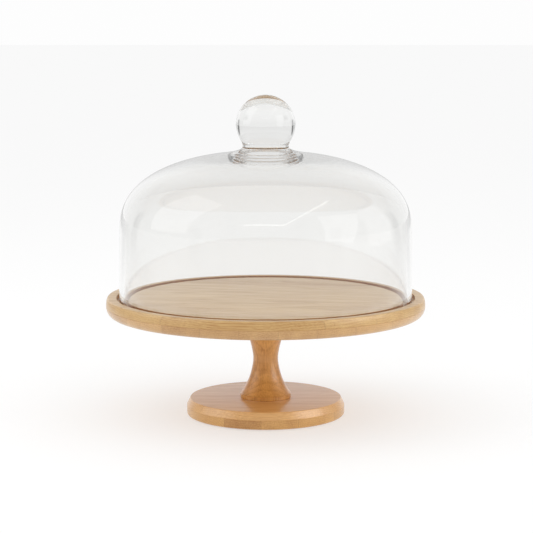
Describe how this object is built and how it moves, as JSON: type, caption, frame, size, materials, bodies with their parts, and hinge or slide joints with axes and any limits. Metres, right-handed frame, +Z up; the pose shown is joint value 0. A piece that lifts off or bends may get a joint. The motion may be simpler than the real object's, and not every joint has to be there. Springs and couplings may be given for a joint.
{
  "type": "domed cake stand",
  "caption": "Round wooden pedestal cake stand with a grooved plate, a turned waisted stem, a disc base and a lift-off clear glass dome with a ball knob.",
  "frame": {"origin": "middle of the footprint, on the surface that the foot pads rest on", "axes": "+Z up along the axis that every piece is turned about; +X and +Y are level, and the wood grain of the plate runs along X"},
  "size_m": [0.3, 0.3, 0.3019],
  "materials": {
    "plate_upper_wood": "satin varnish",
    "plate_lower_wood": "satin varnish",
    "stem_wood": "satin varnish",
    "base_upper_wood": "satin varnish",
    "base_lower_wood": "satin varnish",
    "insert_brass": "machined",
    "fastener_steel": "zinc plated",
    "pad_rubber": "matte",
    "dome_glass": "clear, fire polished"
  },
  "bodies": {
    "stand": {"plate_upper_ply": "plate_upper_wood", "plate_lower_ply": "plate_lower_wood", "plate_insert": "insert_brass", "stem_stud": "fastener_steel", "stem": "stem_wood", "stem_insert": "insert_brass", "base_upper_ply": "base_upper_wood", "base_lower_ply": "base_lower_wood", "base_bolt": "fastener_steel", "base_washer": "fastener_steel", "foot_pad_1": "pad_rubber", "foot_pad_2": "pad_rubber", "foot_pad_3": "pad_rubber", "foot_pad_4": "pad_rubber"},
    "dome": {"dome_shell": "dome_glass", "dome_knob": "dome_glass"}
  },
  "joints": [
    {"name": "dome_lift", "type": "slide", "parent": "stand", "child": "dome", "axis": [0, 0, 1], "range_m": [0, 0.2]}
  ]
}
